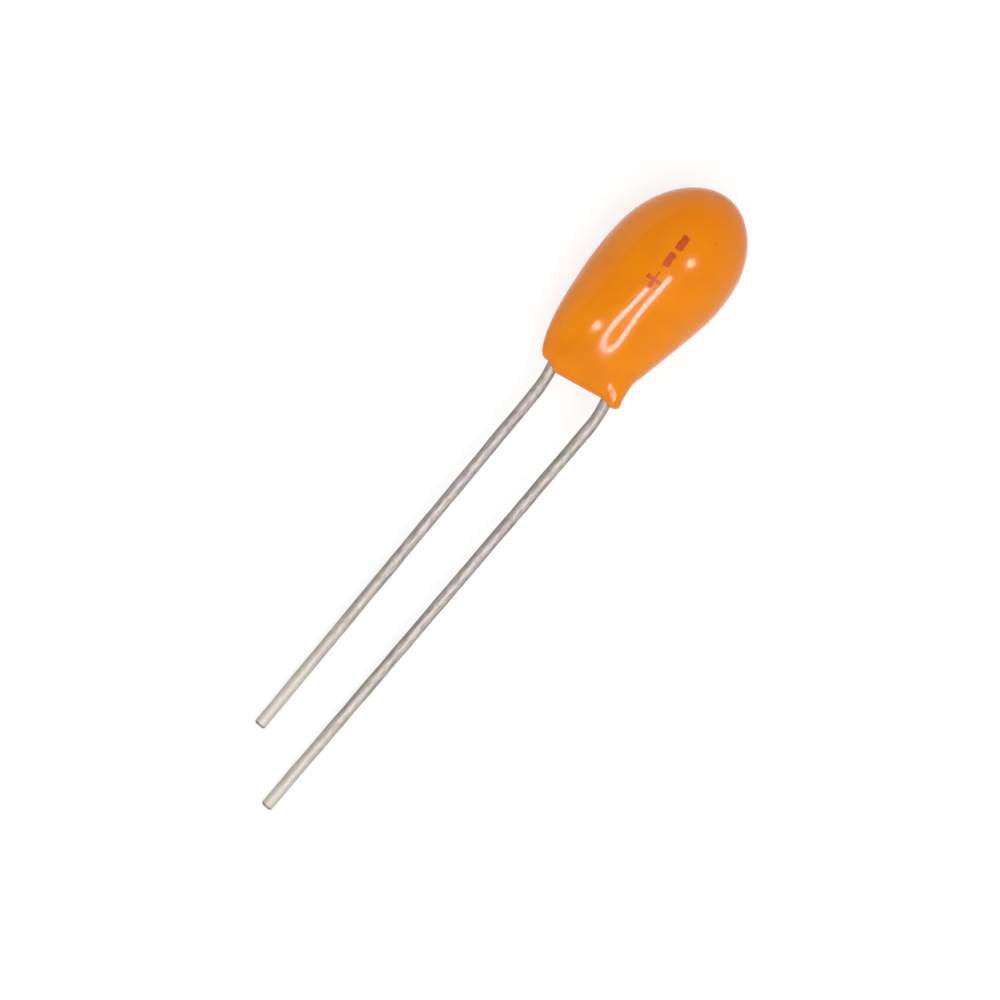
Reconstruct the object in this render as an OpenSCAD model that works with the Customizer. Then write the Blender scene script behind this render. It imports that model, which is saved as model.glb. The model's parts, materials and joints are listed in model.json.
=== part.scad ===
// Dipped tantalum capacitor: a resin bead on two tinned wire leads.
// It is drawn upright in its own axes and then laid down as it comes to rest,
// on the bead and on the tips of both leads.
// Upright axes: X runs across the leads with the positive lead at +X, Z runs up
// the bead from the resin edge, and the marked front of the bead faces -Y.

/* [Leads] */
// Diameter of the tinned wire
lead_d = 0.5; // [0.4:0.05:0.6]
// Distance between the two leads just below the bead
lead_pitch = 2.54; // [2.4:0.02:2.8]
// Length of the positive lead below the resin edge
positive_lead_l = 20.8; // [14:0.1:30]
// Length of the negative lead below the resin edge
negative_lead_l = 18.5; // [14:0.1:30]
// Angle by which each lead leans towards the other on its way down
toe_in = 0.4; // [0:0.1:1]
// Bevel that the cutter leaves on each lead tip
tip_bevel = 0.06; // [0.02:0.01:0.12]
// Radius of the bend in each lead where it leaves the resin
outer_bend_r = 5.5; // [4:0.5:7]
// Radius of the bend in each lead inside the bead
inner_bend_r = 1.5; // [1:0.1:2.5]
// How much a bend draws the wire thinner, all round
bend_neck = 0.01; // [0.005:0.005:0.02]
// Slope of the positive lead as it runs in to the riser wire
positive_slope = 26; // [22:1:30]
// Slope of the negative lead as it runs out to the side of the slug
negative_slope = 20; // [16:1:24]
// Distance below the slug at which the negative lead turns straight
negative_bend_drop = 1.1; // [0.6:0.1:1.5]

/* [Bead] */
// Width of the bead at its belly, across the leads
bead_w = 5.32; // [5:0.02:6.5]
// Depth of the bead at its belly, from front to back
bead_d = 5; // [4.6:0.1:6]
// Height of the bead from the resin edge to its crown
bead_h = 9.5; // [9:0.1:11]
// Height of the belly above the resin edge
belly_z = 5.6; // [5:0.1:6]
// How far the belly sits to the negative side of the leads' middle line
belly_offset = 0.44; // [0.2:0.02:0.6]
// How far the crown sits to the negative side of the leads' middle line
crown_offset = 0.3; // [0.2:0.02:0.6]
// Distance from the leads' middle line to the bead's narrow flank at the resin edge
flank_x = 1.22; // [1.1:0.02:1.4]
// Thickness of the resin web between the leads at the resin edge
web_t = 0.8; // [0.6:0.05:0.9]
// Resin on the outer side of the positive lead, in the foot that runs down it
foot_t = 0.32; // [0.2:0.01:0.4]
// Height in which the foot fades into the bead
foot_h = 1.8; // [1.2:0.1:2.2]
// Resin over the front and back of each lead, just above the resin edge
cover_t = 0.14; // [0.1:0.01:0.2]
// Height in which the resin edge rolls in to the leads
edge_h = 0.28; // [0.2:0.02:0.4]
// How far the rolled edge thins the web on each side
edge_depth = 0.18; // [0.1:0.02:0.2]
// Lip of resin left around each lead at the resin edge
lip_t = 0.04; // [0.02:0.01:0.08]
// Tilt of the resin edge, lower at the negative lead
edge_tilt = 11; // [0:1:14]
// How far the resin edge steps up on the outer side of the negative lead
heel_lift = 0.38; // [0:0.02:0.5]
// How far the resin edge steps down on the outer side of the positive lead
foot_drop = 0.15; // [0:0.01:0.3]

/* [Inside the bead] */
// Diameter of the sintered slug
slug_d = 3.2; // [2.8:0.1:3.4]
// Length of the sintered slug
slug_l = 4; // [3.4:0.1:4.4]
// Height of the slug's lower face above the resin edge
slug_z = 3.5; // [3.3:0.1:3.9]
// How far the slug sits to the negative side of the leads' middle line
slug_offset = 0.2; // [0.1:0.02:0.3]
// Thickness of the conductive cathode coat on the slug
coat_t = 0.12; // [0.06:0.02:0.2]
// Bare band of slug below the rim of the cathode coat
coat_margin = 0.3; // [0.2:0.05:0.6]
// Diameter of the tantalum riser wire
riser_d = 0.4; // [0.3:0.05:0.5]
// Length of the riser wire below the slug
riser_l = 1; // [0.8:0.05:1.2]
// Depth of the riser wire in the slug
riser_depth = 2; // [1.5:0.1:2.5]
// Diameter of the insulating washer on the riser wire
washer_d = 1.3; // [1:0.1:2]
// Thickness of the insulating washer
washer_t = 0.25; // [0.15:0.05:0.35]
// How deep the weld presses the riser wire into the positive lead
weld_depth = 0.06; // [0.03:0.01:0.1]
// Length of the positive lead that lies along the riser wire
weld_l = 0.5; // [0.4:0.05:0.6]
// Gap between the washer and the end of the positive lead
weld_gap = 0.05; // [0.02:0.01:0.1]
// Solder between the negative lead and the cathode coat
solder_gap = 0.03; // [0.02:0.01:0.08]
// Solder around the negative lead
solder_t = 0.12; // [0.08:0.02:0.2]
// Distance from the slug's crown end to the end of the negative lead
lead_end_gap = 0.8; // [0.5:0.1:1.5]

/* [Hidden] */
$fn = 48;

// How finely the bead's skin is drawn
skin_points = 48;
flank_rings = 24;
crown_rings = 14;

// Shape of the bead between its resin edge and its belly
hip_power = 0.48;
flank_round_share = 0.15;
web_power = 3.2;
web_fade_power = 6;
edge_fade_power = 4;
belly_power = 2;
blend_power = 3;
ring_spacing_power = 2;

lead_r = lead_d / 2;
bend_lap_l = 2 * bend_neck;
coat_r = slug_d / 2 + coat_t;
slug_x = -slug_offset;
slug_top_z = slug_z + slug_l;

// Where each lead runs: its inner stretch, the start of its bends and its leg
positive_inner_x = slug_x + riser_d / 2 + lead_r - weld_depth;
positive_end_z = slug_z - washer_t - weld_gap;
positive_bend_z = positive_end_z - weld_l;
positive_leg_x = lead_pitch / 2;
negative_inner_x = slug_x - coat_r - solder_gap - lead_r;
negative_end_z = slug_top_z - lead_end_gap;
negative_bend_z = slug_z - negative_bend_drop;
negative_leg_x = -lead_pitch / 2;

// Going down, a lead slopes over to +X by its slope, then turns back until it
// leans by its lean. The next three functions follow it through those bends.
function slope_l(shift, slope, lean) =
    (shift - inner_bend_r * (1 - cos(slope)) - outer_bend_r * (cos(lean) - cos(slope))) / sin(slope);
function bends_h(shift, slope, lean) =
    inner_bend_r * sin(slope) + slope_l(shift, slope, lean) * cos(slope)
    + outer_bend_r * (sin(slope) - sin(lean));
function lead_x(z, leg_x, leg_z, slope, lean) =
    let (swing = min(sin(lean) + max(z - leg_z, 0) / outer_bend_r, sin(slope)))
    let (past = max(z - leg_z - outer_bend_r * (sin(slope) - sin(lean)), 0))
    leg_x - outer_bend_r * (cos(lean) - sqrt(1 - swing * swing)) - past * tan(slope);

positive_shift = positive_leg_x - positive_inner_x;
positive_leg_z = positive_bend_z - bends_h(positive_shift, positive_slope, -toe_in);
positive_leg_l = (positive_lead_l + positive_leg_z) / cos(toe_in);
negative_shift = negative_leg_x - negative_inner_x;
negative_leg_z = negative_bend_z - bends_h(negative_shift, negative_slope, toe_in);
negative_leg_l = (negative_lead_l + negative_leg_z) / cos(toe_in);

// Outline of the bead below its belly, by height above the resin edge
function share_down(z) = 1 - z / belly_z;
function ease(t) = let (s = min(max(t, 0), 1)) s * s * (3 - 2 * s);
function positive_lead_x(z) = lead_x(z, positive_leg_x, positive_leg_z, positive_slope, -toe_in);
function negative_lead_x(z) = lead_x(z, negative_leg_x, negative_leg_z, negative_slope, toe_in);

function edge_roll(z) = let (left = 1 - min(z / edge_h, 1)) sqrt(1 - left * left);
function sleeve_r(z, cover) = lead_r + lip_t + (cover - lip_t) * edge_roll(z);

hip_x = negative_lead_x(0) - lead_r - lip_t;
belly_left_x = -belly_offset - bead_w / 2;
belly_right_x = -belly_offset + bead_w / 2;

function left_x(z) =
    hip_x + (belly_left_x - hip_x) * pow(1 - pow(share_down(z), 2), hip_power);
function flank_fall(s) = sqrt(s * s + flank_round_share * flank_round_share) - flank_round_share;
function flank_right_x(z) =
    flank_x + (belly_right_x - flank_x) * (1 - flank_fall(share_down(z)) / flank_fall(1));
function right_x(z) =
    let (fade = ease(z / foot_h))
    flank_right_x(z) * fade + (positive_lead_x(z) + sleeve_r(z, foot_t)) * (1 - fade);
function half_depth(z) =
    web_t / 2 - edge_depth * (1 - edge_roll(z))
    + (bead_d - web_t) / 2 * (1 - pow(share_down(z), 2));
function edge_rise(x) =
    tan(edge_tilt) * x + heel_lift * ease((negative_lead_x(0) + lead_r - x) / lead_d)
    - foot_drop * ease((x - positive_lead_x(0) + lead_r) / lead_d);

// One closed ring of skin points. The depth at each point is the smooth largest
// of the bead itself, the foot on the positive lead and the heel on the negative.
function disc_depth(dx, r) = sqrt(max(r * r - dx * dx, 0));
function smooth_largest(list) =
    pow([for (v = list) pow(v, blend_power)] * [for (v = list) 1], 1 / blend_power);
function flank_ring(z) =
    let (mid = (left_x(z) + right_x(z)) / 2)
    let (half_w = (right_x(z) - left_x(z)) / 2)
    let (power = belly_power + (web_power - belly_power) * pow(share_down(z), web_fade_power))
    let (cover_r = sleeve_r(z, cover_t))
    [
        for (i = [0 : skin_points - 1])
            let (across = cos(360 * i / skin_points))
            let (side = sign(sin(360 * i / skin_points)))
            let (x = mid + half_w * across)
            let (bead = half_depth(z) * pow(max(1 - pow(abs(across), power), 0), 1 / power))
            let (foot = disc_depth(x - right_x(z) + cover_r, cover_r))
            let (heel = disc_depth(x - negative_lead_x(z), cover_r))
            let (rise = edge_rise(x) * pow(share_down(z), edge_fade_power))
            [x, side * smooth_largest([bead, foot, heel]), z + rise]
    ];
function crown_ring(angle) =
    let (rise = sin(angle))
    let (mid = -belly_offset + (belly_offset - crown_offset) * rise * rise)
    [
        for (i = [0 : skin_points - 1])
            [
                mid + bead_w / 2 * cos(angle) * cos(360 * i / skin_points),
                bead_d / 2 * cos(angle) * sin(360 * i / skin_points),
                belly_z + (bead_h - belly_z) * rise
            ]
    ];
skin_rings = [
    for (i = [0 : flank_rings - 1])
        flank_ring(belly_z * pow(i / flank_rings, ring_spacing_power)),
    for (i = [0 : crown_rings - 1])
        crown_ring(90 * i / crown_rings)
];
crown_point = [-crown_offset, 0, bead_h];

// Resting pose: the pitch and roll that set the bead and both tips on the ground.
// In the lying axes, X runs to the crown and Z runs to the bead's front.
function lying(p) = [p.z, -p.x, -p.y];
function tip_at(leg_x, leg_z, leg_l, lean) =
    lying([leg_x + (leg_l - tip_bevel) * sin(lean), 0, leg_z - (leg_l - tip_bevel) * cos(lean)]);
positive_tip = tip_at(positive_leg_x, positive_leg_z, positive_leg_l, -toe_in);
negative_tip = tip_at(negative_leg_x, negative_leg_z, negative_leg_l, toe_in);
lying_skin = [for (ring = skin_rings) for (p = ring) lying(p)];

function roll_for(pitch) =
    asin((positive_tip.x - negative_tip.x) / (negative_tip.y - positive_tip.y) * tan(pitch));
function up_for(pitch) =
    let (roll = roll_for(pitch))
    [sin(pitch), sin(roll) * cos(pitch), cos(roll) * cos(pitch)];
function lowest(points, up) = min([for (p = points) p * up]);
function tips_low(pitch) = positive_tip * up_for(pitch) - lead_r * cos(pitch);
function solve_pitch(low, high, steps) =
    let (pitch = (low + high) / 2)
    steps == 0 ? pitch
    : lowest(lying_skin, up_for(pitch)) > tips_low(pitch) ? solve_pitch(low, pitch, steps - 1)
    : solve_pitch(pitch, high, steps - 1);
steepest_rest = 20;
rest_steps = 24;
rest_pitch = solve_pitch(0, steepest_rest, rest_steps);
rest_roll = roll_for(rest_pitch);

// Origin: the middle of the part's footprint, on the ground
rest_up = up_for(rest_pitch);
rest_ahead = [cos(rest_pitch), -sin(rest_roll) * sin(rest_pitch), -cos(rest_roll) * sin(rest_pitch)];
rest_aside = [0, cos(rest_roll), -sin(rest_roll)];
function reach(axis) = [for (p = lying_skin) p * axis];
origin_x = (max(reach(rest_ahead)) + positive_tip * rest_ahead - tip_bevel) / 2;
origin_y = (max(reach(rest_aside)) + min(reach(rest_aside))) / 2;
origin_z = lowest(lying_skin, rest_up);

module at_rest() {
    translate([-origin_x, -origin_y, -origin_z])
        rotate([rest_roll, -rest_pitch, 0])
            rotate([-90, 0, -90])
                children();
}

// The bead's outer form as one closed skin through its rings
module bead_form() {
    n = skin_points;
    rings = len(skin_rings);
    crown = rings * n;
    half = n / 2;
    polyhedron(
        points = [for (ring = skin_rings) each ring, crown_point],
        faces = [
            for (r = [0 : rings - 2]) for (i = [0 : n - 1])
                let (a = r * n + i, b = r * n + (i + 1) % n)
                each [[a, a + n, b], [b, a + n, b + n]],
            for (i = [0 : n - 1])
                [crown - n + i, crown, crown - n + (i + 1) % n],
            [0, 1, n - 1],
            for (i = [1 : half - 2])
                each [[i, i + 1, n - i], [i + 1, n - i - 1, n - i]],
            [half - 1, half, half + 1]
        ]
    );
}

// Wire drawn downwards from the origin, with what follows set at its end
module wire_straight(l) {
    translate([0, 0, -l]) {
        cylinder(d = lead_d, h = l);
        children();
    }
}

// A bend towards +X for a positive turn and towards -X for a negative one. Its
// thinner wire laps a little way into the straight wire at both ends.
module wire_bend(r, turn) {
    side = sign(turn);
    lap = bend_lap_l / r * 180 / PI;
    translate([side * r, 0, 0])
        rotate([-90, 0, side > 0 ? 180 : 0])
            rotate([0, 0, -lap])
                rotate_extrude(angle = abs(turn) + 2 * lap)
                    translate([r, 0])
                        circle(d = lead_d - 2 * bend_neck);
    translate([side * r * (1 - cos(turn)), 0, -r * sin(abs(turn))])
        rotate([0, -turn, 0])
            children();
}

module wire_tip() {
    translate([0, 0, -tip_bevel])
        cylinder(d1 = lead_d - 2 * tip_bevel, d2 = lead_d, h = tip_bevel);
}

// A whole lead: inner stretch, bend, slope, bend back, leg and bevelled tip
module lead_wire(inner_x, end_z, bend_z, shift, slope, lean, leg_l) {
    translate([inner_x, 0, end_z])
        wire_straight(end_z - bend_z)
            wire_bend(inner_bend_r, slope)
                wire_straight(slope_l(shift, slope, lean))
                    wire_bend(outer_bend_r, lean - slope)
                        wire_straight(leg_l - tip_bevel)
                            wire_tip();
}

module positive_wire() {
    lead_wire(
        positive_inner_x, positive_end_z, positive_bend_z, positive_shift,
        positive_slope, -toe_in, positive_leg_l
    );
}

module negative_wire() {
    lead_wire(
        negative_inner_x, negative_end_z, negative_bend_z, negative_shift,
        negative_slope, toe_in, negative_leg_l
    );
}

module on_slug_axis(z) {
    translate([slug_x, 0, z]) children();
}

module riser_form() {
    on_slug_axis(slug_z - riser_l) cylinder(d = riser_d, h = riser_l + riser_depth);
}

module slug_form() {
    on_slug_axis(slug_z) cylinder(d = slug_d, h = slug_l);
}

module washer_form() {
    on_slug_axis(slug_z - washer_t) cylinder(d = washer_d, h = washer_t);
}

// Outside of the cathode coat: from its rim up over the slug's crown end
module coat_form() {
    on_slug_axis(slug_z + coat_margin) cylinder(r = coat_r, h = slug_l - coat_margin + coat_t);
}

// Solder bed: a sleeve round the negative lead with a web out to the coat
module solder_form() {
    sleeve_r = lead_r + solder_t;
    web_half = sleeve_r + solder_t;
    foot_z = slug_z + coat_margin;
    translate([0, 0, foot_z])
        linear_extrude(negative_end_z + solder_t - foot_z)
            union() {
                translate([negative_inner_x, 0]) circle(r = sleeve_r);
                polygon([
                    [negative_inner_x, -sleeve_r], [slug_x - slug_d / 2, -web_half],
                    [slug_x - slug_d / 2, web_half], [negative_inner_x, sleeve_r]
                ]);
            }
}

module resin_coat() {
    color("darkorange") at_rest() difference() {
        bead_form();
        slug_form();
        coat_form();
        riser_form();
        washer_form();
        solder_form();
        positive_wire();
        negative_wire();
    }
}

module anode_slug() {
    color("dimgray") at_rest() difference() {
        slug_form();
        riser_form();
    }
}

module riser_wire() {
    color("slategray") at_rest() riser_form();
}

module riser_washer() {
    color("whitesmoke") at_rest() difference() {
        washer_form();
        riser_form();
    }
}

module cathode_coat() {
    color("silver") at_rest() difference() {
        coat_form();
        slug_form();
    }
}

module cathode_solder() {
    color("lightsteelblue") at_rest() difference() {
        solder_form();
        coat_form();
        negative_wire();
    }
}

module positive_lead() {
    color("gainsboro") at_rest() difference() {
        positive_wire();
        riser_form();
    }
}

module negative_lead() {
    color("gainsboro") at_rest() negative_wire();
}

resin_coat();
anode_slug();
riser_wire();
riser_washer();
cathode_coat();
cathode_solder();
positive_lead();
negative_lead();
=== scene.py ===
# Dipped tantalum capacitor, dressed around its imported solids: a glossy resin bead
# with a printed polarity mark, on two tinned wire leads.
import json
import math

import bpy
import numpy as np
from mathutils import Matrix, Vector
from mathutils.bvhtree import BVHTree
from mathutils.interpolate import poly_3d_calc


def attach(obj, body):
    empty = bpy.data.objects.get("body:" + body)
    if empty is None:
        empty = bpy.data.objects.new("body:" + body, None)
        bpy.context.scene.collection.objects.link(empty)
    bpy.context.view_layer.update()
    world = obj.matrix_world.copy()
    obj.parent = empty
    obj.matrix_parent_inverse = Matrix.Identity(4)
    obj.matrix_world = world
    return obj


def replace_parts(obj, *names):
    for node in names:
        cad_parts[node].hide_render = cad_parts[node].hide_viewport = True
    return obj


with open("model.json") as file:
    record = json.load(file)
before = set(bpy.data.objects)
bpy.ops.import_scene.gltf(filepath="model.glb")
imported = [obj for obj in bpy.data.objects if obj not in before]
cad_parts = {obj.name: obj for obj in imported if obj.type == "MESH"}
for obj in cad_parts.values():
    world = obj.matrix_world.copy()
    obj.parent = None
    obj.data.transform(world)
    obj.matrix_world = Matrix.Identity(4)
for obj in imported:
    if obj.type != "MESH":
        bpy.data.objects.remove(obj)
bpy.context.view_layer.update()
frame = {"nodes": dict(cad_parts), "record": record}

# Shapes are worked out in the part's upright axes, in millimetres: X runs across the
# leads with the positive lead at +X, Z runs up the bead from the resin edge, and the
# marked front faces -Y. They are set into the frame, in metres, when a mesh is made.
MM = 0.001
PER_MM = 1 / MM
SEED = 7

# Driving dimensions, as the solids have them
LEAD_D = 0.5
LEAD_PITCH = 2.54
POSITIVE_LEAD_L = 20.8
NEGATIVE_LEAD_L = 18.5
TOE_IN = math.radians(0.4)
TIP_BEVEL = 0.06
OUTER_BEND_R = 5.5
INNER_BEND_R = 1.5
BEND_NECK = 0.01
POSITIVE_SLOPE = math.radians(26)
NEGATIVE_SLOPE = math.radians(20)
NEGATIVE_BEND_DROP = 1.1
BEAD_W = 5.32
BEAD_D = 5.0
BEAD_H = 9.5
BELLY_Z = 5.6
BELLY_OFFSET = 0.44
CROWN_OFFSET = 0.3
FLANK_X = 1.22
WEB_T = 0.8
FOOT_T = 0.32
FOOT_H = 1.8
COVER_T = 0.14
EDGE_H = 0.28
EDGE_DEPTH = 0.18
LIP_T = 0.04
EDGE_TILT = math.radians(11)
HEEL_LIFT = 0.38
FOOT_DROP = 0.15
SLUG_D = 3.2
SLUG_L = 4.0
SLUG_Z = 3.5
SLUG_OFFSET = 0.2
COAT_T = 0.12
RISER_D = 0.4
WASHER_T = 0.25
WELD_DEPTH = 0.06
WELD_L = 0.5
WELD_GAP = 0.05
SOLDER_GAP = 0.03
LEAD_END_GAP = 0.8
HIP_POWER = 0.48
FLANK_ROUND_SHARE = 0.15
WEB_POWER = 3.2
WEB_FADE_POWER = 6
EDGE_FADE_POWER = 4
BELLY_POWER = 2.0
BLEND_POWER = 3.0

# Fineness of the meshes, and the angle from which an edge is shaded sharp
BEAD_POINTS = 160
FLANK_RINGS = 110
CROWN_RINGS = 60
RING_SPACING_POWER = 2.0
WIRE_POINTS = 40
WIRE_STEP = 0.06
FEWEST_STEPS = 4
SHARP_ANGLE = math.radians(40)

# Unevenness of the dipped resin and of the tinned wire: depth and wavelength of each,
# and how much finer the wire's is in each direction. Single waves differ in length by
# the shares of RIPPLE_PITCHES.
RESIN_WAVE = 0.002
RESIN_WAVE_L = 2.2
WIRE_WAVE = 0.006
WIRE_WAVE_L = 1.1
WIRE_WAVE_FINENESS = (2.5, 2.5, 1.0)
RIPPLE_PITCHES = (0.7, 1.6)

# Swelling where the resin drained down the foot: its middle (X, Z), its spread across
# and along, its height, and the depth over which it starts
SWELL_AT = (1.42, 0.42)
SWELL_W = 0.24
SWELL_L = 0.46
SWELL_H = 0.09
SWELL_EDGE = 0.3

# Fuller places on the positive lead's side, the neck above the foot and the shoulder:
# height on the bead, spread, inner start, blend and depth of each
SIDE_FILLS = [(0.95, 0.5, 0.8, 0.6, 0.115), (7.6, 1.6, 0.2, 1.5, 0.085)]

# Lower resin edge on the outer side of the negative lead: where it starts (X), its blend,
# its fade up the bead and its depth
HEEL_FROM = -1.35
HEEL_BLEND = 0.25
HEEL_FADE = 0.45
HEEL_DEPTH = 0.095

# Polarity mark, as the camera sees it on the bead: the middle of each shape (X, Z),
# and its size along and across the mark's own direction
MARK_LEAN = math.radians(-4)
PLUS_AT = (-0.55, 5.14)
PLUS_ARM_ALONG = 0.78
PLUS_ARM_ACROSS = 0.68
PLUS_STROKE_UP = 0.10
PLUS_STROKE_DOWN = 0.16
PLUS_STROKE_LEFT = 0.18
PLUS_STROKE_RIGHT = 0.14
BARS = [((-0.59, 6.13), 0.64, 0.30), ((-0.6, 6.96), 0.66, 0.32)]
BAR_CORNER_R = 0.07
MARK_STEP = 0.02
INK_T = 0.008
INK_SINK = 0.012
INK_RAGGED = 0.012
INK_RAGGED_L = 0.16

# Tones, as linear red, green and blue. The resin's follow each other up the bead, from
# the resin edge at 0 to the crown at 1, and grow darker towards the crown as painted shade.
RESIN_TONES_AND_SHADE = [
    (0.0, (0.86, 0.250, 0.004)), (0.35, (0.85, 0.243, 0.003)),
    (0.75, (0.82, 0.228, 0.002)), (1.0, (0.76, 0.195, 0.002)),
]
RESIN_CLOUD = (0.79, 0.212, 0.004)
RESIN_HAZE = (0.66, 0.20, 0.02)
RESIN_SPECK = (0.30, 0.07, 0.01)
INK_DEEP = (0.48, 0.054, 0.010)
INK_LIGHT = (0.58, 0.088, 0.016)
# Paler, pinker ink low on the bead: a painted sheen
INK_PAINTED_SHEEN = (0.68, 0.135, 0.045)
TIN_DARK = (0.20, 0.193, 0.178)
TIN_LIGHT = (0.37, 0.36, 0.325)
TIN_PATCH = (0.42, 0.405, 0.368)
TIN_STAIN = (0.20, 0.19, 0.17)
TIN_PALE = (0.60, 0.575, 0.525)
TIN_CUT = (0.24, 0.225, 0.21)
TARNISH_TINTS = [
    (0.36, (1.0, 0.925, 0.92)), (0.50, (0.98, 0.975, 0.95)), (0.64, (1.0, 0.985, 0.83)),
]

# Heights on the bead between which the ink's painted sheen, a paler and pinker tone, lessens to
# none
SHEEN_FROM = 5.3
SHEEN_TO = 7.0

# Stretches of each wire, from its inner end, over which its tin grows paler and duller
PALE_FROM = 17.5
PALE_TO = 25.5
DULL_FROM = 14.5
DULL_TO = 25.0

# Length of the darker cut end of each wire
CUT_L = 0.12

# Finishes of the pieces inside the bead, which keep their solids: dark tone, light tone,
# size of the grain, metallic share and roughness
INNER_FINISHES = {
    "anode_slug": ((0.10, 0.10, 0.11), (0.22, 0.22, 0.24), 0.08, 0.6, 0.60),
    "riser_wire": ((0.34, 0.34, 0.37), (0.46, 0.46, 0.50), 0.15, 1.0, 0.32),
    "riser_washer": ((0.72, 0.72, 0.70), (0.84, 0.84, 0.82), 0.30, 0.0, 0.45),
    "cathode_coat": ((0.50, 0.50, 0.49), (0.68, 0.68, 0.66), 0.12, 0.8, 0.42),
    "cathode_solder": ((0.46, 0.46, 0.47), (0.62, 0.62, 0.62), 0.25, 1.0, 0.30),
}
INNER_ROUGHER = 1.3

# Camera: square on to the plane of the leads, with the leads running down to the left
CAMERA_DISTANCE = 220.0
CAMERA_FIELD = 39.68
CAMERA_AIM = (0.405, -5.5)
CAMERA_CLIP = 4.4
LEADS_TURN = math.radians(49.93)
SENSOR = 36.0

# Glints of the lamps, as the camera sees them on the bead (X, Z). Each spot has its
# place, height, colour and brightness.
TUBE_GLINT = [
    (-0.52, 4.72), (-0.56, 3.8), (-0.62, 2.9), (-0.58, 2.2), (-0.38, 1.82), (-0.14, 1.79),
    (-0.01, 2.2), (-0.06, 2.9), (-0.14, 3.8), (-0.12, 4.7), (-0.1, 5.6),
]
TUBE_STROKE = 0.165
TUBE_COLOUR = (0.88, 0.80, 1.0)
TUBE_BRIGHTNESS = 37
SPOT_GLINTS = [
    ((0.16, 6.55), 0.36, (1.0, 0.95, 0.85), 32),
    ((-1.1, 2.26), 0.22, (0.93, 0.87, 1.0), 60),
]
SPOT_GLINT_W = 0.30
LAMP_DISTANCE = 260.0

# Faint haloes round the glints: stroke of the tube's, and how much wider a spot's is
HALO_STROKE = 0.55
HALO_SPREAD = 2.2
HALO_DISTANCE = 330.0
TUBE_HALO_COLOUR = (1.0, 0.95, 0.9)
TUBE_HALO_BRIGHTNESS = 1.8
SPOT_HALO_COLOUR = (1.0, 0.95, 0.85)
SPOT_HALO_BRIGHTNESS = 2.2
STRIP_STEPS = 10
SPOT_POINTS = 32

# Floor, which sweeps up into a low wall, in metres. Light meets the lit level. The eye
# meets the seen level, which takes the shadow, together with the glow.
FLOOR_HUB_R = 0.05
FLOOR_R = 0.6
WALL_R = 0.9
WALL_H = 0.22
FLOOR_RINGS = 24
FLOOR_POINTS = 96
FLOOR_LIT_LEVEL = 0.80
FLOOR_SEEN_LEVEL = 0.32
FLOOR_GLOW = 0.72

# Room: brightness on the two sides of the part, which pass into each other within the
# reach, and the gain towards the horizon, which fades out between two heights. Reach and
# heights are shares of a direction of length 1.
ROOM_DARK = 0.16
ROOM_BRIGHT = 0.46
ROOM_REACH = 0.8
HORIZON_GAIN = 2.0
HORIZON_LOW = 0.15
HORIZON_HIGH = 0.65

# Places of the colour sockets on a mix node, which has others of the same names
MIX_FIRST = 6
MIX_SECOND = 7
MIX_RESULT = 2


# Axes of the part in the frame

mounts = {mount["name"]: mount for mount in frame["record"]["mounts"]}
positive_pin = mounts["positive_lead_pin"]
negative_pin = mounts["negative_lead_pin"]
axis_z = -Vector(positive_pin["axis"]) - Vector(negative_pin["axis"])
axis_z.normalize()
axis_x = Vector(positive_pin["pos_m"]) - Vector(negative_pin["pos_m"])
axis_x -= axis_x.dot(axis_z) * axis_z
axis_x.normalize()
axis_y = axis_z.cross(axis_x)
crown = max((v.co for v in frame["nodes"]["resin_coat"].data.vertices), key=axis_z.dot)
part_origin = crown + (CROWN_OFFSET * axis_x - BEAD_H * axis_z) * MM
part_axes = np.array([axis_x, axis_y, axis_z])


def placed(points):
    """Points of the part's upright axes, in the frame."""
    return np.asarray(points) @ part_axes * MM + np.array(part_origin)


def frame_point(point):
    return Vector(placed([point])[0])


# Routes of the leads

lead_r = LEAD_D / 2
slug_x = -SLUG_OFFSET


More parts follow.
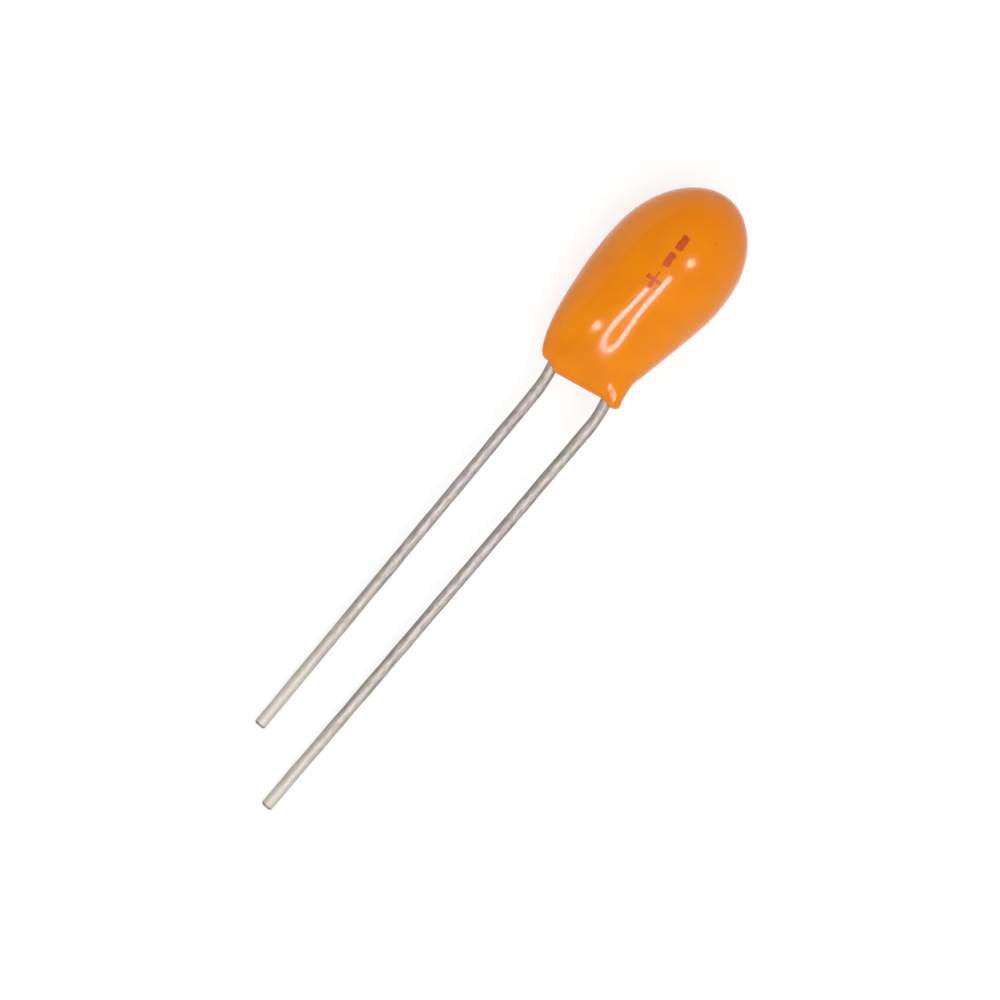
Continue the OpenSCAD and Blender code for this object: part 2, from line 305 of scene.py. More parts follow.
class Lead:
    """A lead's route in the X-Z plane, from its end in the bead down to its tip."""

    def __init__(self, inner_x, end_z, bend_z, leg_x, slope, lean, length):
        self.inner_x = inner_x
        self.end_z = end_z
        self.leg_x = leg_x
        self.slope = slope
        self.lean = lean
        inner_bend_x = INNER_BEND_R * (1 - math.cos(slope))
        outer_bend_x = OUTER_BEND_R * (math.cos(lean) - math.cos(slope))
        slope_l = (leg_x - inner_x - (inner_bend_x + outer_bend_x)) / math.sin(slope)
        self.outer_h = OUTER_BEND_R * (math.sin(slope) - math.sin(lean))
        slope_end_z = bend_z - INNER_BEND_R * math.sin(slope) - slope_l * math.cos(slope)
        self.leg_z = slope_end_z - self.outer_h
        leg_l = (length + self.leg_z) / math.cos(lean)
        # each stretch: its length, how far it turns towards +X, how much thinner it is
        self.stretches = [
            (end_z - bend_z, 0, 0),
            (INNER_BEND_R * slope, slope, BEND_NECK),
            (slope_l, 0, 0),
            (OUTER_BEND_R * (slope - lean), lean - slope, BEND_NECK),
            (leg_l, 0, 0),
        ]

    def x_at(self, z):
        """Where the outer bend and the slope cross each height."""
        rise = np.maximum(z - self.leg_z, 0)
        swing = np.minimum(math.sin(self.lean) + rise / OUTER_BEND_R, math.sin(self.slope))
        past = np.maximum(rise - self.outer_h, 0)
        bend_x = OUTER_BEND_R * (math.cos(self.lean) - np.sqrt(1 - swing ** 2))
        return self.leg_x - bend_x - past * math.tan(self.slope)

    def route(self):
        """Points down the route: x, z, heading from straight down, distance, neck."""
        rows = []
        x, z, heading, along = self.inner_x, self.end_z, 0.0, 0.0
        for length, turn, neck in self.stretches:
            steps = max(int(length / WIRE_STEP), FEWEST_STEPS)
            for step in range(steps):
                share = step / steps
                chord = self.chord(length * share, turn * share)
                middle = heading + turn * share / 2
                rows.append((
                    x + chord * math.sin(middle), z - chord * math.cos(middle),
                    heading + turn * share, along + length * share,
                    neck * math.sin(math.pi * share),
                ))
            chord = self.chord(length, turn)
            x += chord * math.sin(heading + turn / 2)
            z -= chord * math.cos(heading + turn / 2)
            heading += turn
            along += length
        rows.append((x, z, heading, along, 0.0))
        return np.array(rows)

    @staticmethod
    def chord(length, turn):
        """Distance between the ends of an arc."""
        return length * math.sin(turn / 2) / (turn / 2) if turn else length


positive_end_z = SLUG_Z - WASHER_T - WELD_GAP
positive = Lead(
    inner_x=slug_x + RISER_D / 2 + lead_r - WELD_DEPTH,
    end_z=positive_end_z, bend_z=positive_end_z - WELD_L,
    leg_x=LEAD_PITCH / 2, slope=POSITIVE_SLOPE, lean=-TOE_IN, length=POSITIVE_LEAD_L,
)
negative = Lead(
    inner_x=slug_x - SLUG_D / 2 - COAT_T - SOLDER_GAP - lead_r,
    end_z=SLUG_Z + SLUG_L - LEAD_END_GAP, bend_z=SLUG_Z - NEGATIVE_BEND_DROP,
    leg_x=-LEAD_PITCH / 2, slope=NEGATIVE_SLOPE, lean=TOE_IN, length=NEGATIVE_LEAD_L,
)


# Small helpers

rng = np.random.default_rng(SEED)


def ripple(points, wavelength, waves=9):
    """Smooth unevenness between about -1 and 1 at each point."""
    total = np.zeros(len(points))
    for _ in range(waves):
        direction = rng.normal(size=3)
        direction /= np.linalg.norm(direction)
        pitch = wavelength * rng.uniform(*RIPPLE_PITCHES)
        phase = rng.uniform(0, 2 * math.pi)
        total += np.sin(points @ direction * 2 * math.pi / pitch + phase)
    return total / math.sqrt(waves)


def ease(share):
    """A smooth rise from 0 to 1."""
    share = np.clip(share, 0, 1)
    return share * share * (3 - 2 * share)


def turn_angles(count):
    """Angles of points that stand evenly round a full turn."""
    return np.arange(count) * 2 * math.pi / count


def ring_faces(rings, count):
    """Quads between rings of points, which follow each other in the list."""
    faces = []
    for start in range(0, (rings - 1) * count, count):
        for i in range(count):
            this, following = start + i, start + (i + 1) % count
            faces.append((this, following, following + count, this + count))
    return faces


def cap_faces(start, count, tip):
    """Triangles from a ring of points to one point."""
    return [(start + i, start + (i + 1) % count, tip) for i in range(count)]


def mesh_object(name, points, faces, material, smooth=True):
    """An object of that mesh, from points of the frame."""
    mesh = bpy.data.meshes.new(name)
    mesh.from_pydata([tuple(p) for p in points], [], [tuple(f) for f in faces])
    mesh.polygons.foreach_set("use_smooth", [smooth] * len(mesh.polygons))
    mesh.materials.append(material)
    mesh.validate()
    made = bpy.data.objects.new(name, mesh)
    bpy.context.scene.collection.objects.link(made)
    return made


def store(piece, name, kind, values):
    """Keeps a value for each point of a piece, for its material to read."""
    attribute = piece.data.attributes.new(name, kind, "POINT")
    field = "vector" if kind == "FLOAT_VECTOR" else "value"
    attribute.data.foreach_set(field, np.asarray(values, dtype=np.float32).ravel())


# Helpers for materials

def new_material(name):
    """A material, its nodes and its own shader."""
    material = bpy.data.materials.new(name)
    material.use_nodes = True
    tree = material.node_tree
    return material, tree, tree.nodes["Principled BSDF"]


def bare_material(name):
    """A material whose nodes are cleared away."""
    material, tree, _ = new_material(name)
    tree.nodes.clear()
    return material, tree


def feed(tree, socket, value):
    """Links an output to an input, or sets a plain value on it."""
    if isinstance(value, bpy.types.NodeSocket):
        tree.links.new(value, socket)
    elif socket.type == "RGBA":
        socket.default_value = (*value, 1)
    else:
        socket.default_value = value


def feed_named(tree, owner, values):
    """Feeds a node's inputs of those names."""
    for name, value in values.items():
        feed(tree, owner.inputs[name], value)


def node(tree, kind, *sources, **settings):
    """A node with its first inputs fed in order, and other inputs and settings by name."""
    made = tree.nodes.new(kind)
    for name, value in settings.items():
        if name in made.inputs:
            feed(tree, made.inputs[name], value)
        else:
            setattr(made, name, value)
    for socket, source in zip(made.inputs, sources):
        feed(tree, socket, source)
    return made


def noise(tree, vector, scale, detail=3.0, roughness=0.5):
    made = node(
        tree, "ShaderNodeTexNoise", Vector=vector, Scale=scale, Detail=detail, Roughness=roughness,
    )
    return made.outputs["Fac"]


def grey(level):
    return (level, level, level)


def ramp(tree, factor, stops):
    """Colours along a factor: a list of (position, colour)."""
    made = node(tree, "ShaderNodeValToRGB", Fac=factor)
    elements = made.color_ramp.elements
    while len(elements) < len(stops):
        elements.new(0.5)
    for element, (position, colour) in zip(elements, stops):
        element.position = position
        element.color = (*colour, 1)
    return made.outputs["Color"]


def grey_ramp(tree, factor, *stops):
    """Grey levels along a factor, each stop a (position, level)."""
    return ramp(tree, factor, [(position, grey(level)) for position, level in stops])


def eased(tree, value, start, end):
    """A smooth change of level between two stops, each a (position, level)."""
    made = node(tree, "ShaderNodeMapRange", interpolation_type="SMOOTHSTEP", Value=value)
    feed_named(tree, made, {
        "From Min": start[0], "From Max": end[0], "To Min": start[1], "To Max": end[1],
    })
    return made.outputs["Result"]


def mix(tree, factor, first, second, blend="MIX"):
    """A mix of two colours."""
    made = node(tree, "ShaderNodeMix", factor, data_type="RGBA", blend_type=blend)
    feed(tree, made.inputs[MIX_FIRST], first)
    feed(tree, made.inputs[MIX_SECOND], second)
    return made.outputs[MIX_RESULT]


def bump(tree, height, depth_mm, strength):
    """A normal that follows the height."""
    made = node(
        tree, "ShaderNodeBump", Strength=strength, Distance=depth_mm * MM, Height=height,
    )
    return made.outputs["Normal"]


def object_place(tree):
    return node(tree, "ShaderNodeTexCoord").outputs["Object"]


def point_value(tree, name, output="Fac"):
    return node(tree, "ShaderNodeAttribute", attribute_name=name).outputs[output]


def vector_z(tree, vector):
    return node(tree, "ShaderNodeSeparateXYZ", vector).outputs["Z"]


# Materials

def resin_material():
    """Orange resin, slightly cloudy and hazy, with sparse dark specks, painted darker towards the
    crown as shade.
    """
    material, tree, shader = new_material("resin_orange")
    place = object_place(tree)
    # Tones up the bead, darker towards the crown: painted shade
    body = ramp(tree, point_value(tree, "height"), RESIN_TONES_AND_SHADE)
    cloud = noise(tree, place, scale=0.7 * PER_MM, detail=4.0)
    body = mix(tree, grey_ramp(tree, cloud, (0.42, 0.0), (0.72, 1.0)), body, RESIN_CLOUD)
    haze = noise(tree, place, scale=2.6 * PER_MM, detail=5.0, roughness=0.65)
    body = mix(tree, grey_ramp(tree, haze, (0.58, 0.0), (0.85, 0.35)), body, RESIN_HAZE)
    grain = node(tree, "ShaderNodeTexVoronoi", Vector=place, Scale=2.4 * PER_MM)
    speck = grey_ramp(tree, grain.outputs["Distance"], (0.045, 1.0), (0.085, 0.0))
    sparse = noise(tree, place, scale=1.1 * PER_MM, detail=1.0)
    sparse = grey_ramp(tree, sparse, (0.56, 0.0), (0.60, 0.6))
    body = mix(tree, mix(tree, 1.0, speck, sparse, "MULTIPLY"), body, RESIN_SPECK)
    gloss = noise(tree, place, scale=1.6 * PER_MM)
    dimples = noise(tree, place, scale=1.9 * PER_MM, detail=2.0)
    feed_named(tree, shader, {
        "Base Color": body,
        "Roughness": grey_ramp(tree, gloss, (0.3, 0.08), (0.8, 0.14)),
        "Specular IOR Level": 0.2,
        "Normal": bump(tree, dimples, depth_mm=0.004, strength=0.3),
    })
    return material


def ink_material():
    """Red ink of uneven cover, painted paler and pinker low on the bead as a sheen."""
    material, tree, shader = new_material("ink_red")
    cover = noise(tree, object_place(tree), scale=5.5 * PER_MM, detail=4.0, roughness=0.6)
    cover = grey_ramp(tree, cover, (0.30, 0.0), (0.75, 1.0))
    tone = mix(tree, cover, INK_DEEP, INK_LIGHT)
    # Ink painted paler and pinker low on the bead, standing in for sheen
    painted_sheen = eased(tree, point_value(tree, "height"), (SHEEN_FROM, 0.38), (SHEEN_TO, 0.0))
    feed_named(tree, shader, {
        "Base Color": mix(tree, painted_sheen, tone, INK_PAINTED_SHEEN),
        "Roughness": grey_ramp(tree, cover, (0.0, 0.26), (1.0, 0.40)),
        "Specular IOR Level": 0.1,
        "Normal": bump(tree, cover, depth_mm=0.004, strength=0.5),
    })
    return material


def tinned_material():
    """Dull tin, streaked along the wire, stained in places and paler towards the tip."""
    material, tree, shader = new_material("tinned_wire")
    wire = point_value(tree, "wire_place", "Vector")
    drawn = node(tree, "ShaderNodeMapping", Vector=wire, Scale=(3.0, 3.0, 0.5))
    streak = noise(tree, drawn.outputs["Vector"], scale=1.6, detail=4.0, roughness=0.6)
    blotch = noise(tree, wire, scale=2.4, detail=4.0, roughness=0.7)
    tint = noise(tree, wire, scale=0.9, detail=1.0)
    along = vector_z(tree, wire)
    tone = ramp(tree, streak, [(0.30, TIN_DARK), (0.64, TIN_LIGHT)])
    tone = mix(tree, grey_ramp(tree, blotch, (0.42, 0.0), (0.66, 0.9)), tone, TIN_PATCH)
    tone = mix(tree, grey_ramp(tree, blotch, (0.30, 0.7), (0.44, 0.0)), tone, TIN_STAIN)
    tone = mix(tree, eased(tree, along, (PALE_FROM, 0.0), (PALE_TO, 0.75)), tone, TIN_PALE)
    tone = mix(tree, 1.0, tone, ramp(tree, tint, TARNISH_TINTS), "MULTIPLY")
    cut = eased(tree, point_value(tree, "from_tip"), (CUT_L / 2, 1.0), (CUT_L, 0.0))
    feed_named(tree, shader, {
        "Base Color": mix(tree, cut, tone, TIN_CUT),
        "Metallic": eased(tree, along, (DULL_FROM, 0.8), (DULL_TO, 0.2)),
        "Specular Tint": grey(0.2),
        "Roughness": grey_ramp(tree, streak, (0.25, 0.62), (0.75, 0.76)),
        "Normal": bump(tree, streak, depth_mm=0.006, strength=0.5),
    })
    return material


def inner_material(name, dark, light, grain_mm, metallic, roughness):
    """Finish of a piece inside the bead: two tones in a grain of that size."""
    material, tree, shader = new_material(name)
    grain = noise(tree, object_place(tree), scale=PER_MM / grain_mm, detail=4.0, roughness=0.6)
    rougher = roughness * INNER_ROUGHER
    feed_named(tree, shader, {
        "Base Color": ramp(tree, grain, [(0.3, dark), (0.7, light)]),
        "Metallic": metallic,
        "Roughness": grey_ramp(tree, grain, (0.3, roughness), (0.7, rougher)),
        "Normal": bump(tree, grain, depth_mm=0.01, strength=0.4),
    })
    return material


# Bead

negative_x = float(negative.x_at(0.0))
positive_x = float(positive.x_at(0.0))
hip_x = negative_x - lead_r - LIP_T
belly_left_x = -BELLY_OFFSET - BEAD_W / 2
belly_right_x = -BELLY_OFFSET + BEAD_W / 2
ring_angles = turn_angles(BEAD_POINTS)


def share_down(z):
    """How far below the belly a height is, from 0 to 1 at the resin edge."""
    return 1 - z / BELLY_Z


def edge_roll(z):
    """How the resin rounds in from its full size above to its edge, from 1 to 0."""
    left = 1 - np.minimum(z / EDGE_H, 1)
    return np.sqrt(1 - left * left)


def sleeve_r(z, cover):
    """Radius of the resin round a lead, which thins from its cover to a lip at the edge."""
    return lead_r + LIP_T + (cover - LIP_T) * edge_roll(z)


def left_x(z):
    """The hip over the negative lead."""
    return hip_x + (belly_left_x - hip_x) * (1 - share_down(z) ** 2) ** HIP_POWER


def flank_fall(share):
    """A fall that starts round and goes on straight."""
    return math.hypot(share, FLANK_ROUND_SHARE) - FLANK_ROUND_SHARE


def right_x(z):
    """The flank, which passes into the foot round the positive lead."""
    fade = ease(z / FOOT_H)
    reach = 1 - flank_fall(share_down(z)) / flank_fall(1)
    flank = FLANK_X + (belly_right_x - FLANK_X) * reach
    return flank * fade + (positive.x_at(z) + sleeve_r(z, FOOT_T)) * (1 - fade)


def half_depth(z):
    """Half the depth of the bead, which narrows to the web between the leads."""
    swell = 1 - share_down(z) ** 2
    return WEB_T / 2 - EDGE_DEPTH * (1 - edge_roll(z)) + (BEAD_D - WEB_T) / 2 * swell


def disc_depth(dx, r):
    """Half the depth of a disc at a distance from its middle."""
    return np.sqrt(np.maximum(r * r - dx * dx, 0))


def edge_rise(x):
    """How the resin edge tilts, steps up past the negative lead and down past the positive."""
    heel = HEEL_LIFT * ease((negative_x + lead_r - x) / LEAD_D)
    foot = FOOT_DROP * ease((x - positive_x + lead_r) / LEAD_D)
    return math.tan(EDGE_TILT) * x + heel - foot


def flank_ring(z):
    """The bead below its belly: the smooth largest of bead, foot and heel."""
    mid = (left_x(z) + right_x(z)) / 2
    half_w = (right_x(z) - left_x(z)) / 2
    power = BELLY_POWER + (WEB_POWER - BELLY_POWER) * share_down(z) ** WEB_FADE_POWER
    cover_r = sleeve_r(z, COVER_T)
    across = np.cos(ring_angles)
    x = mid + half_w * across
    bead_depth = half_depth(z) * np.maximum(1 - np.abs(across) ** power, 0) ** (1 / power)
    foot_depth = disc_depth(x - right_x(z) + cover_r, cover_r)
    heel_depth = disc_depth(x - negative.x_at(z), cover_r)
    summed = bead_depth ** BLEND_POWER + foot_depth ** BLEND_POWER + heel_depth ** BLEND_POWER
    depth = summed ** (1 / BLEND_POWER)
    depth[[0, BEAD_POINTS // 2]] = 0
    height = z + edge_rise(x) * share_down(z) ** EDGE_FADE_POWER
    return np.column_stack([x, np.sign(np.sin(ring_angles)) * depth, height])


def crown_ring(angle):
    """The bead above its belly."""
    rise = math.sin(angle)
    mid = -BELLY_OFFSET + (BELLY_OFFSET - CROWN_OFFSET) * rise * rise
    return np.column_stack([
        mid + BEAD_W / 2 * math.cos(angle) * np.cos(ring_angles),
        BEAD_D / 2 * math.cos(angle) * np.sin(ring_angles),
        np.full(BEAD_POINTS, BELLY_Z + (BEAD_H - BELLY_Z) * rise),
    ])


def foot_swell(points):
    """How far the foot swells to the front and back at each point."""
    x, y, z = points.T
    spread = ((x - SWELL_AT[0]) / SWELL_W) ** 2 + ((z - SWELL_AT[1]) / SWELL_L) ** 2
    return np.sign(y) * SWELL_H * np.exp(-spread) * ease(np.abs(y) / SWELL_EDGE)


def side_fill(points):
    """How much fuller the bead is, towards +X, at each point."""
    x, _, z = points.T
    return sum(
        depth * np.exp(-((z - middle) / spread) ** 2) * ease((x - start) / blend)
        for middle, spread, start, blend, depth in SIDE_FILLS
    )


def heel_drop(points):
    """How much lower the resin is at each point, beyond the negative lead."""
    x, _, z = points.T
    return HEEL_DEPTH * ease((HEEL_FROM - x) / HEEL_BLEND) * np.exp(-(z / HEEL_FADE) ** 2)


def bead_shape():
    """Points and faces of the whole skin, with its flat underside between the leads."""
    rings = [
        flank_ring(BELLY_Z * (i / FLANK_RINGS) ** RING_SPACING_POWER) for i in range(FLANK_RINGS)
    ]
    rings += [crown_ring(math.pi / 2 * i / CROWN_RINGS) for i in range(CROWN_RINGS)]
    points = np.vstack(rings + [[[-CROWN_OFFSET, 0, BEAD_H]]])
    count = BEAD_POINTS
    half = count // 2
    faces = ring_faces(len(rings), count)
    faces += cap_faces((len(rings) - 1) * count, count, len(points) - 1)
    faces.append((0, count - 1, 1))
    faces += [(i, count - i, count - i - 1, i + 1) for i in range(1, half - 1)]
    faces.append((half - 1, half + 1, half))
    outward = points - np.array([-BELLY_OFFSET, 0, BELLY_Z])
    outward /= np.linalg.norm(outward, axis=1)[:, None]
    wave = ripple(points, RESIN_WAVE_L) * ease((points[:, 2] - EDGE_H) / FOOT_H)
    uneven = points + outward * (RESIN_WAVE * wave)[:, None]
    uneven[:, 0] += side_fill(points)
    uneven[:, 1] += foot_swell(points)
    uneven[:, 2] -= heel_drop(points)
    return uneven, faces


bead_points, bead_faces = bead_shape()
bead = mesh_object("resin_bead", placed(bead_points), bead_faces, resin_material())
store(bead, "height", "FLOAT", np.clip(bead_points[:, 2] / BEAD_H, 0, 1))
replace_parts(bead, "resin_coat")
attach(bead, "root")
bead_tree = BVHTree.FromPolygons([Vector(p) for p in bead_points], bead_faces)
bead_normals = np.array([normal.vector for normal in bead.data.vertex_normals]) @ part_axes.T


# Leads

def wire_rows(lead):
    """Rows of the route, of which the last two are the two sides of the tip's bevel."""
    route = lead.route()
    end = route[-1]
    bevel = end.copy()
    bevel[0] -= TIP_BEVEL * math.sin(end[2])
    bevel[1] += TIP_BEVEL * math.cos(end[2])
    bevel[3] -= TIP_BEVEL
    return np.array([row for row in route if row[3] <= end[3] - TIP_BEVEL] + [bevel, end])


def tube_points(middle, spoke, radius):
    return (middle[:, None, :] + spoke * radius[:, :, None]).reshape(-1, 3)


def wire_piece(name, lead, material):
    """A lead as one closed tube with a bevelled tip and a plain inner end."""
    x, z, heading, along, neck = wire_rows(lead).T
    rows = len(along)
    count = WIRE_POINTS
    angles = turn_angles(count)
    side = np.column_stack([np.cos(heading), np.zeros(rows), np.sin(heading)])
    middle = np.column_stack([x, np.zeros(rows), z])
    spoke = side[:, None, :] * np.cos(angles)[None, :, None]
    spoke = spoke + np.array([0, 1, 0]) * np.sin(angles)[None, :, None]
    radius = np.repeat((lead_r - neck)[:, None], count, axis=1)
    skin = tube_points(middle, spoke, radius)
    wave = ripple(skin * np.array(WIRE_WAVE_FINENESS), WIRE_WAVE_L).reshape(radius.shape)
    radius += WIRE_WAVE * (wave - 1)
    radius[-1] -= TIP_BEVEL
    points = np.vstack([tube_points(middle, spoke, radius), middle[0], middle[-1]])
    inner_end, tip = len(points) - 2, len(points) - 1
    faces = [face[::-1] for face in ring_faces(rows, count)]
    faces += cap_faces(0, count, inner_end)
    faces += [(b, a, tip) for a, b, _ in cap_faces((rows - 1) * count, count, tip)]
    piece = mesh_object(name, placed(points), faces, material)
    place = np.column_stack([
        np.tile(np.cos(angles), rows), np.tile(np.sin(angles), rows), np.repeat(along, count),
    ])
    place = np.vstack([place, [0, 0, along[0]], [0, 0, along[-1]]])
    store(piece, "wire_place", "FLOAT_VECTOR", place)
    store(piece, "from_tip", "FLOAT", along[-1] - place[:, 2])
    piece.data.set_sharp_from_angle(angle=SHARP_ANGLE)
    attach(piece, "root")
    return piece


tinned = tinned_material()
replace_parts(wire_piece("positive_wire", positive, tinned), "positive_lead")
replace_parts(wire_piece("negative_wire", negative, tinned), "negative_lead")


# Camera

camera_place = Vector((CAMERA_AIM[0], -CAMERA_DISTANCE, CAMERA_AIM[1]))
image_right = math.cos(LEADS_TURN) * axis_z + math.sin(LEADS_TURN) * axis_x
image_up = math.sin(LEADS_TURN) * axis_z - math.cos(LEADS_TURN) * axis_x
camera_data = bpy.data.cameras.new("camera")
camera_data.sensor_width = SENSOR
camera_data.lens = SENSOR * CAMERA_DISTANCE / CAMERA_FIELD
camera_data.clip_start = CAMERA_CLIP * MM
camera = bpy.data.objects.new("camera", camera_data)
camera_axes = Matrix((image_right, image_up, -axis_y)).transposed().to_4x4()
camera.matrix_world = Matrix.Translation(frame_point(camera_place)) @ camera_axes
bpy.context.scene.collection.objects.link(camera)
bpy.context.scene.camera = camera


def seen_on_bead(x, z):
    """The point of the bead that the camera sees there, its smooth normal and the view ray."""
    ray = (Vector((x, 0, z)) - camera_place).normalized()
    point, _, index, _ = bead_tree.ray_cast(camera_place, ray)
    corners = list(bead_faces[index])
    shares = poly_3d_calc([Vector(bead_points[i]) for i in corners], point)
    normal = Vector(np.array(shares) @ bead_normals[corners]).normalized()
    return point, normal, ray


# Polarity mark

def film_faces(inked, wide, below):
    """Faces of a film over the inked cells: top, underside, and walls at the ink's edge."""
    faces = []
    for row, column in sorted(inked):
        first = row * wide + column
        corners = [first, first + 1, first + wide + 1, first + wide]
        faces.append(tuple(corners))
        faces.append(tuple(i + below for i in reversed(corners)))
        beyond = [(row - 1, column), (row, column + 1), (row + 1, column), (row, column - 1)]
        for side, cell in enumerate(beyond):
            if cell not in inked:
                a, b = corners[side], corners[(side + 1) % 4]
                faces.append((b, a, a + below, b + below))
    return faces


def ink_shape(at, along, across, is_inked):
    """A thin closed film on the bead, over the inked cells of a grid."""
    rows = max(round(along / MARK_STEP), 1)
    columns = max(round(across / MARK_STEP), 1)
    v = (np.arange(rows + 1) / rows - 0.5) * along
    u = (np.arange(columns + 1) / columns - 0.5) * across
    grid_u, grid_v = np.meshgrid(u, v)
    flat = np.column_stack([grid_u.ravel(), grid_v.ravel(), np.zeros(grid_u.size)])
    ragged_u = flat[:, 0] + ripple(flat, INK_RAGGED_L) * INK_RAGGED
    ragged_v = flat[:, 1] + ripple(flat, INK_RAGGED_L) * INK_RAGGED
    x = at[0] + ragged_u * math.cos(MARK_LEAN) + ragged_v * math.sin(MARK_LEAN)
    z = at[1] - ragged_u * math.sin(MARK_LEAN) + ragged_v * math.cos(MARK_LEAN)
    top, under = [], []
    for place in zip(x, z):
        point, normal, _ = seen_on_bead(*place)
        top.append(point + normal * INK_T)
        under.append(point - normal * INK_SINK)
    inked = {
        (row, column) for row in range(rows) for column in range(columns)
        if is_inked((u[column] + u[column + 1]) / 2, (v[row] + v[row + 1]) / 2)
    }
    return top + under, film_faces(inked, columns + 1, len(top))


def joined(shapes):
    """One list of points and faces from several, without unused points."""
    points, faces = [], []
    for shape_points, shape_faces in shapes:
        used = sorted({i for face in shape_faces for i in face})
        number = {old: len(points) + new for new, old in enumerate(used)}
        points += [shape_points[i] for i in used]
        faces += [tuple(number[i] for i in face) for face in shape_faces]
    return points, faces


def on_plus(u, v):
    """Whether a place is on the plus, whose four arms differ in stroke."""
    across = PLUS_STROKE_UP if v > 0 else PLUS_STROKE_DOWN
    along = PLUS_STROKE_RIGHT if u > 0 else PLUS_STROKE_LEFT
    return abs(u) < across / 2 or abs(v) < along / 2


def bar_shape(at, along, across):
    """A bar with rounded corners."""
    def on_bar(u, v):
        past_u = max(abs(u) - across / 2 + BAR_CORNER_R, 0)
        past_v = max(abs(v) - along / 2 + BAR_CORNER_R, 0)
        return math.hypot(past_u, past_v) < BAR_CORNER_R
    return ink_shape(at, along, across, on_bar)


mark_shapes = [ink_shape(PLUS_AT, PLUS_ARM_ALONG, PLUS_ARM_ACROSS, on_plus)]
mark_shapes += [bar_shape(*bar) for bar in BARS]
mark_points, mark_faces = joined(mark_shapes)
mark = mesh_object("polarity_mark", placed(mark_points), mark_faces, ink_material(), smooth=False)
store(mark, "height", "FLOAT", [point[2] for point in mark_points])
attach(mark, "root")


# Pieces inside the bead

for name, finish in INNER_FINISHES.items():
    solid = frame["nodes"][name].data
    solid.materials.clear()
    solid.materials.append(inner_material(name + "_finish", *finish))


# Floor, lamps and world

def backdrop_shape():
    """A round floor that sweeps up into a low wall all round."""
    profile = [(FLOOR_HUB_R, 0.0), (FLOOR_R, 0.0)]
    for i in range(1, FLOOR_RINGS + 1):
        angle = math.pi / 2 * i / FLOOR_RINGS
        radius = FLOOR_R + (WALL_R - FLOOR_R) * math.sin(angle)
        profile.append((radius, WALL_H * (1 - math.cos(angle))))
    points = [(0.0, 0.0, 0.0)]
    for radius, height in profile:
        for angle in turn_angles(FLOOR_POINTS):
            points.append((radius * math.cos(angle), radius * math.sin(angle), height))
    faces = cap_faces(1, FLOOR_POINTS, 0)
    for face in ring_faces(len(profile), FLOOR_POINTS):
        faces.append(tuple(1 + i for i in reversed(face)))
    return points, faces


def floor_material():
    """White to the eye, with a faint shadow, and a plain pale floor to the light."""
    material, tree = bare_material("floor_white")
    pale = node(tree, "ShaderNodeBsdfDiffuse", Color=grey(FLOOR_LIT_LEVEL))
    faint = node(tree, "ShaderNodeBsdfDiffuse", Color=grey(FLOOR_SEEN_LEVEL))
    glow = node(tree, "ShaderNodeEmission", Color=grey(1.0), Strength=FLOOR_GLOW)
    seen = node(tree, "ShaderNodeAddShader", faint.outputs[0], glow.outputs[0])
    path = node(tree, "ShaderNodeLightPath")
    to_eye = path.outputs["Is Camera Ray"]
    for ray in ("Is Glossy Ray", "Is Transmission Ray"):
        either = node(tree, "ShaderNodeMath", to_eye, path.outputs[ray], operation="MAXIMUM")
        to_eye = either.outputs[0]
    choose = node(tree, "ShaderNodeMixShader", to_eye, pale.outputs[0], seen.outputs[0])
    node(tree, "ShaderNodeOutputMaterial", Surface=choose.outputs[0])
    return material


def stage_mesh(name, points, faces, material):
    """A mesh that isn't part of the object."""
    made = mesh_object(name, points, faces, material)
    return made


stage_mesh("floor", *backdrop_shape(), floor_material())


def soft_lamp(name, direction, distance, size, watts):
    """A broad lamp in that direction of the part's axes, for even light without glare."""
    lamp = bpy.data.lights.new(name, "AREA")
    lamp.shape = "DISK"
    lamp.size = size
    lamp.energy = watts
    made = bpy.data.objects.new(name, lamp)
    way = Vector(direction).normalized()
    aim = frame_point((0, 0, 0))
    world_way = way.x * axis_x + way.y * axis_y + way.z * axis_z
    made.location = aim + world_way * distance
    made.rotation_euler = (-world_way).to_track_quat("-Z", "Y").to_euler()
    made.visible_glossy = False
    made.visible_camera = False
    bpy.context.scene.collection.objects.link(made)


soft_lamp("key_lamp", direction=(0.25, -1.0, -0.2), distance=0.5, size=0.4, watts=1.52)
soft_lamp("fill_lamp", direction=(-0.3, -0.9, 0.4), distance=0.55, size=0.4, watts=0.78)


def glow_material(name, colour, brightness):
    material, tree = bare_material(name)
    glow = node(tree, "ShaderNodeEmission", Color=colour, Strength=brightness)
    node(tree, "ShaderNodeOutputMaterial", Surface=glow.outputs[0])
    return material


def lamp_place(glint, distance):
    """Where a lamp stands whose reflection the camera sees at that place on the bead."""
    point, normal, ray = seen_on_bead(*glint)
    return point + ray.reflect(normal) * distance


def smooth_path(places, steps):
    """Points along a smooth curve through the places."""
    knots = np.array([places[0]] + places + [places[-1]])
    path = []
    for a, b, c, d in zip(knots, knots[1:], knots[2:], knots[3:]):
        for i in range(steps):
            t = i / steps
            squared = (2 * a - 5 * b + 4 * c - d) * t ** 2
            cubed = (3 * b - a - 3 * c + d) * t ** 3
            path.append(0.5 * (2 * b + (c - a) * t + squared + cubed))
    return np.array(path + [knots[-1]])


def strip_shape(glint, stroke, distance):
    """A bent strip of light whose reflection follows the glint at an even width."""
    path = smooth_path(glint, STRIP_STEPS)
    way = np.gradient(path, axis=0)
    way /= np.linalg.norm(way, axis=1)[:, None]
    aside = np.column_stack([way[:, 1], -way[:, 0]]) * stroke / 2
    points = [lamp_place(place, distance) for place in np.vstack([path - aside, path + aside])]
    count = len(path)
    return points, [(i, i + 1, count + i + 1, count + i) for i in range(count - 1)]


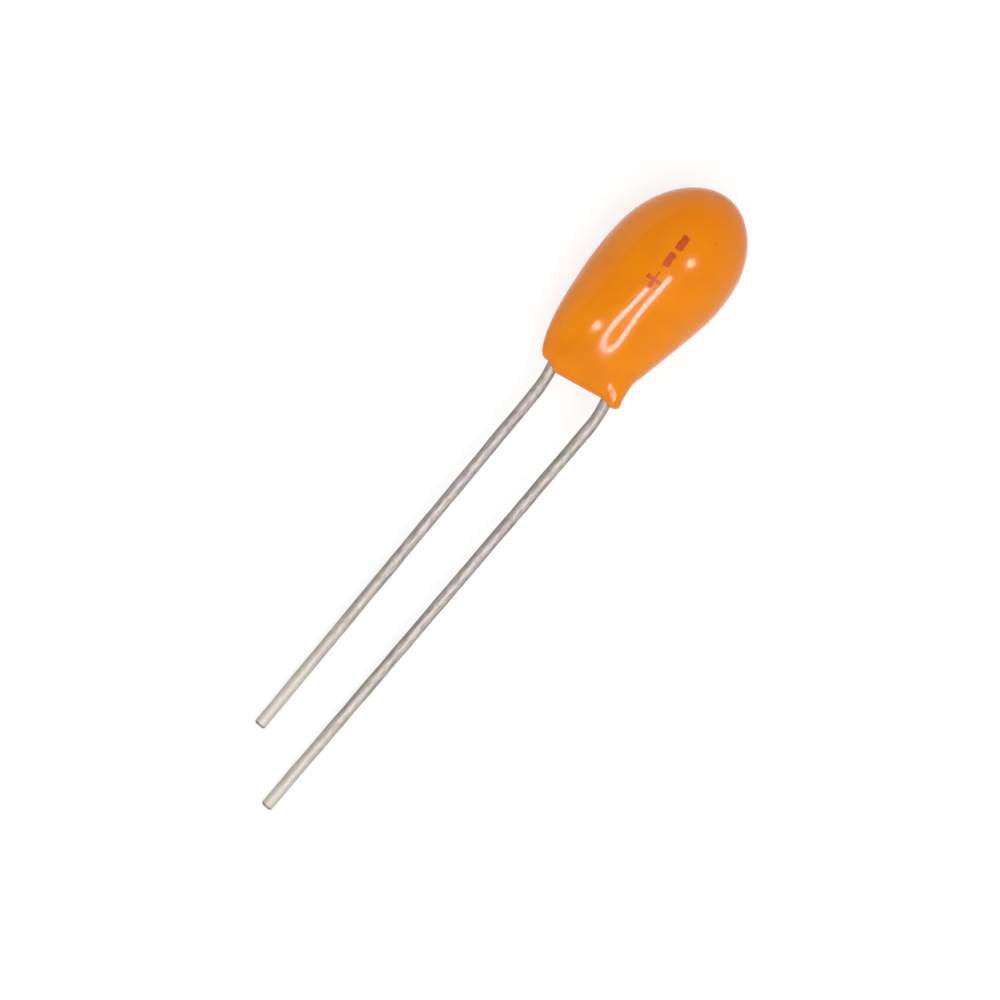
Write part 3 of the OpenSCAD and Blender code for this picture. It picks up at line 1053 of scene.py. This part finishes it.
def spot_shape(at, wide, tall, distance):
    """A patch of light whose reflection is an upright oval."""
    turns = turn_angles(SPOT_POINTS)
    rim = np.column_stack([np.cos(turns) * wide / 2, np.sin(turns) * tall / 2])
    points = [lamp_place(place, distance) for place in rim + at] + [lamp_place(at, distance)]
    return points, cap_faces(0, SPOT_POINTS, SPOT_POINTS)


def reflected_lamp(name, shape, material):
    """A lamp that only gloss shows."""
    points, faces = shape
    lamp = stage_mesh(name, placed(points), faces, material)
    lamp.visible_camera = False
    lamp.visible_diffuse = False
    lamp.visible_shadow = False


tube_glow = glow_material("tube_glow", TUBE_COLOUR, TUBE_BRIGHTNESS)
reflected_lamp("tube_lamp", strip_shape(TUBE_GLINT, TUBE_STROKE, LAMP_DISTANCE), tube_glow)
tube_halo_glow = glow_material("tube_halo_glow", TUBE_HALO_COLOUR, TUBE_HALO_BRIGHTNESS)
reflected_lamp("tube_halo", strip_shape(TUBE_GLINT, HALO_STROKE, HALO_DISTANCE), tube_halo_glow)
spot_halo_glow = glow_material("spot_halo_glow", SPOT_HALO_COLOUR, SPOT_HALO_BRIGHTNESS)
for number, (at, tall, colour, brightness) in enumerate(SPOT_GLINTS, 1):
    spot_glow = glow_material("spot_glow_%d" % number, colour, brightness)
    spot = spot_shape(at, SPOT_GLINT_W, tall, LAMP_DISTANCE)
    reflected_lamp("spot_lamp_%d" % number, spot, spot_glow)
    halo = spot_shape(at, SPOT_GLINT_W * HALO_SPREAD, tall * HALO_SPREAD, HALO_DISTANCE)
    reflected_lamp("spot_halo_%d" % number, halo, spot_halo_glow)


def room_world():
    """A room that is brighter on the side of the positive lead and towards the horizon."""
    world = bpy.data.worlds.new("studio")
    world.use_nodes = True
    tree = world.node_tree
    way = node(tree, "ShaderNodeTexCoord").outputs["Generated"]
    facing = node(tree, "ShaderNodeVectorMath", way, axis_x, operation="DOT_PRODUCT")
    side = eased(
        tree, facing.outputs["Value"], (-ROOM_REACH, ROOM_DARK), (ROOM_REACH, ROOM_BRIGHT),
    )
    low = eased(tree, vector_z(tree, way), (HORIZON_LOW, HORIZON_GAIN), (HORIZON_HIGH, 1.0))
    both = node(tree, "ShaderNodeMath", side, low, operation="MULTIPLY")
    feed_named(tree, tree.nodes["Background"], {
        "Color": grey(1.0), "Strength": both.outputs[0],
    })
    return world


bpy.context.scene.world = room_world()
bpy.context.scene.view_settings.view_transform = "Standard"
